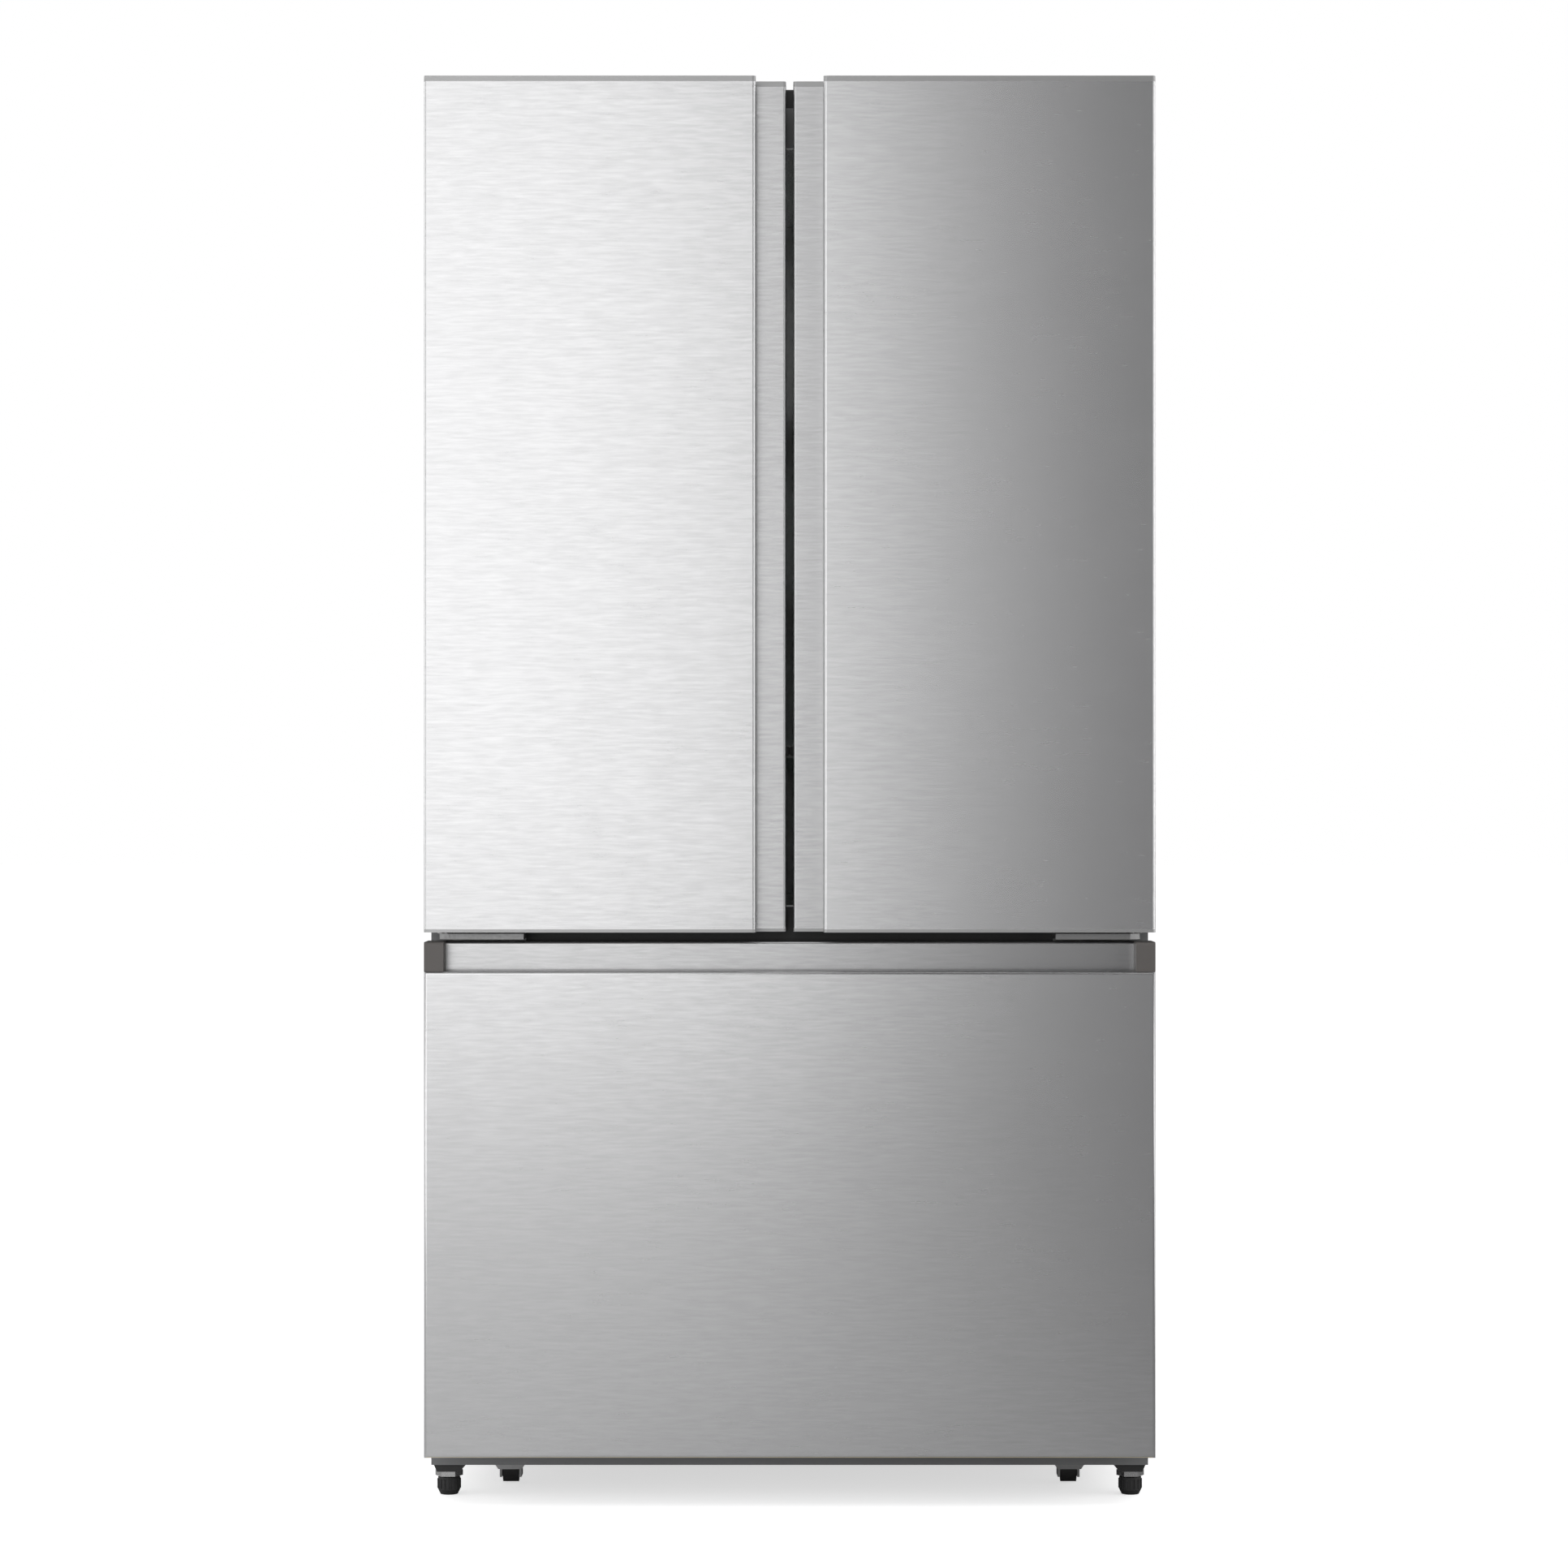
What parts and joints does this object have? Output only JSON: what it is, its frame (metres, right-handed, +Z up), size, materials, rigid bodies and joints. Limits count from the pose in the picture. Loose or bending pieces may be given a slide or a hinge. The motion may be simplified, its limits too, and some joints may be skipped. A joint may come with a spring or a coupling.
{
  "type": "french door refrigerator",
  "caption": "Tall refrigerator with a pair of hinged upper doors, recessed vertical pocket handles and a wide pull-out freezer drawer below, on levelling feet and rollers.",
  "frame": {"origin": "middle of the footprint at floor level", "axes": "+Z up, -Y out of the doors, +X to the right of a person facing the doors"},
  "size_m": [0.908, 0.86, 1.778],
  "materials": {
    "brushed_stainless": "satin brushed",
    "case_paint": "textured satin",
    "galvanised": "dull zinc",
    "black_steel": "satin black",
    "bright_steel": "nickel plate",
    "foam": "matte",
    "liner_white": "gloss",
    "cap_grey": "satin",
    "handle_grey": "satin brushed",
    "gasket_grey": "soft matte",
    "clear_plastic": "clear",
    "shelf_white": "gloss",
    "shelf_pane": "clear",
    "dark_plastic": "matte",
    "roller_black": "matte",
    "coil_aluminium": "mill",
    "compressor_black": "gloss black"
  },
  "bodies": {
    "cabinet": {"outer_wrapper": "case_paint", "back_panel": "galvanised", "cabinet_foam": "foam", "fridge_liner": "liner_white", "freezer_liner": "liner_white", "center_rail": "black_steel", "base_frame": "galvanised", "machine_cover": "galvanised", "compressor": "compressor_black", "condenser": "black_steel", "fan_frame": "dark_plastic", "evaporator": "coil_aluminium", "evaporator_cover": "liner_white", "shelf_tracks": "galvanised", "shelf_frames": "shelf_white", "shelf_glass": "shelf_pane", "top_hinges": "bright_steel", "hinge_cover": "dark_plastic", "center_hinges": "bright_steel", "leg_brackets": "black_steel", "lock_nuts": "bright_steel", "roller_brackets": "galvanised", "freezer_outer_rails": "galvanised", "cord_inlet": "dark_plastic", "screws": "bright_steel"},
    "left_door": {"left_skin": "brushed_stainless", "left_handle": "handle_grey", "left_caps": "cap_grey", "left_foam": "foam", "left_liner": "liner_white", "left_gasket": "gasket_grey", "left_bins": "clear_plastic", "mullion_hinges": "shelf_white"},
    "right_door": {"right_skin": "brushed_stainless", "right_handle": "handle_grey", "right_caps": "cap_grey", "right_foam": "foam", "right_liner": "liner_white", "right_gasket": "gasket_grey", "right_bins": "clear_plastic"},
    "mullion": {"mullion_bar": "liner_white"},
    "freezer_drawer": {"freezer_skin": "brushed_stainless", "freezer_handle": "handle_grey", "freezer_end_caps": "cap_grey", "freezer_foam": "foam", "freezer_inner_panel": "liner_white", "freezer_gasket": "gasket_grey", "freezer_inner_rails": "galvanised", "freezer_basket": "clear_plastic"},
    "middle_rails": {"freezer_middle_rails": "galvanised"},
    "upper_tray": {"freezer_tray": "clear_plastic"},
    "crisper_drawer_left": {"crisper_left": "clear_plastic"},
    "crisper_drawer_right": {"crisper_right": "clear_plastic"},
    "left_foot": {"foot_left": "dark_plastic"},
    "right_foot": {"foot_right": "dark_plastic"},
    "front_left_roller": {"roller_front_left": "roller_black"},
    "front_right_roller": {"roller_front_right": "roller_black"},
    "rear_left_roller": {"roller_rear_left": "roller_black"},
    "rear_right_roller": {"roller_rear_right": "roller_black"},
    "fan_rotor": {"condenser_fan": "dark_plastic"}
  },
  "joints": [
    {"name": "left_door_hinge", "type": "hinge", "parent": "cabinet", "child": "left_door", "pos_m": [-0.431, -0.386, 1.2], "axis": [0, 0, -1], "range_deg": [0, 120]},
    {"name": "right_door_hinge", "type": "hinge", "parent": "cabinet", "child": "right_door", "pos_m": [0.431, -0.386, 1.2], "axis": [0, 0, 1], "range_deg": [0, 120]},
    {"name": "mullion_fold", "type": "hinge", "parent": "left_door", "child": "mullion", "pos_m": [-0.03, -0.336, 1.2], "axis": [0, 0, -1], "range_deg": [0, 90]},
    {"name": "freezer_slide", "type": "slide", "parent": "cabinet", "child": "freezer_drawer", "axis": [0, -1, 0], "range_m": [0, 0.4]},
    {"name": "rail_slide", "type": "slide", "parent": "cabinet", "child": "middle_rails", "axis": [0, -1, 0], "range_m": [0, 0.2]},
    {"name": "tray_slide", "type": "slide", "parent": "cabinet", "child": "upper_tray", "axis": [0, -1, 0], "range_m": [0, 0.2]},
    {"name": "left_crisper_slide", "type": "slide", "parent": "cabinet", "child": "crisper_drawer_left", "axis": [0, -1, 0], "range_m": [0, 0.08]},
    {"name": "right_crisper_slide", "type": "slide", "parent": "cabinet", "child": "crisper_drawer_right", "axis": [0, -1, 0], "range_m": [0, 0.08]},
    {"name": "left_foot_screw", "type": "slide", "parent": "cabinet", "child": "left_foot", "axis": [0, 0, -1], "range_m": [0, 0.01]},
    {"name": "right_foot_screw", "type": "slide", "parent": "cabinet", "child": "right_foot", "axis": [0, 0, -1], "range_m": [0, 0.01]},
    {"name": "front_left_roller_axle", "type": "hinge", "parent": "cabinet", "child": "front_left_roller", "pos_m": [-0.359, -0.23, 0.0195], "axis": [1, 0, 0], "continuous": true},
    {"name": "front_right_roller_axle", "type": "hinge", "parent": "cabinet", "child": "front_right_roller", "pos_m": [0.359, -0.23, 0.0195], "axis": [1, 0, 0], "continuous": true},
    {"name": "rear_left_roller_axle", "type": "hinge", "parent": "cabinet", "child": "rear_left_roller", "pos_m": [-0.4, 0.35, 0.018], "axis": [1, 0, 0], "continuous": true},
    {"name": "rear_right_roller_axle", "type": "hinge", "parent": "cabinet", "child": "rear_right_roller", "pos_m": [0.4, 0.35, 0.018], "axis": [1, 0, 0], "continuous": true},
    {"name": "condenser_fan_spin", "type": "hinge", "parent": "cabinet", "child": "fan_rotor", "pos_m": [0.0821, 0.3, 0.13], "axis": [1, 0, 0], "continuous": true}
  ],
  "couplings": [
    {"joint": "rail_slide", "follows": "freezer_slide", "ratio": 0.5},
    {"joint": "tray_slide", "follows": "freezer_slide", "ratio": 0.5}
  ]
}
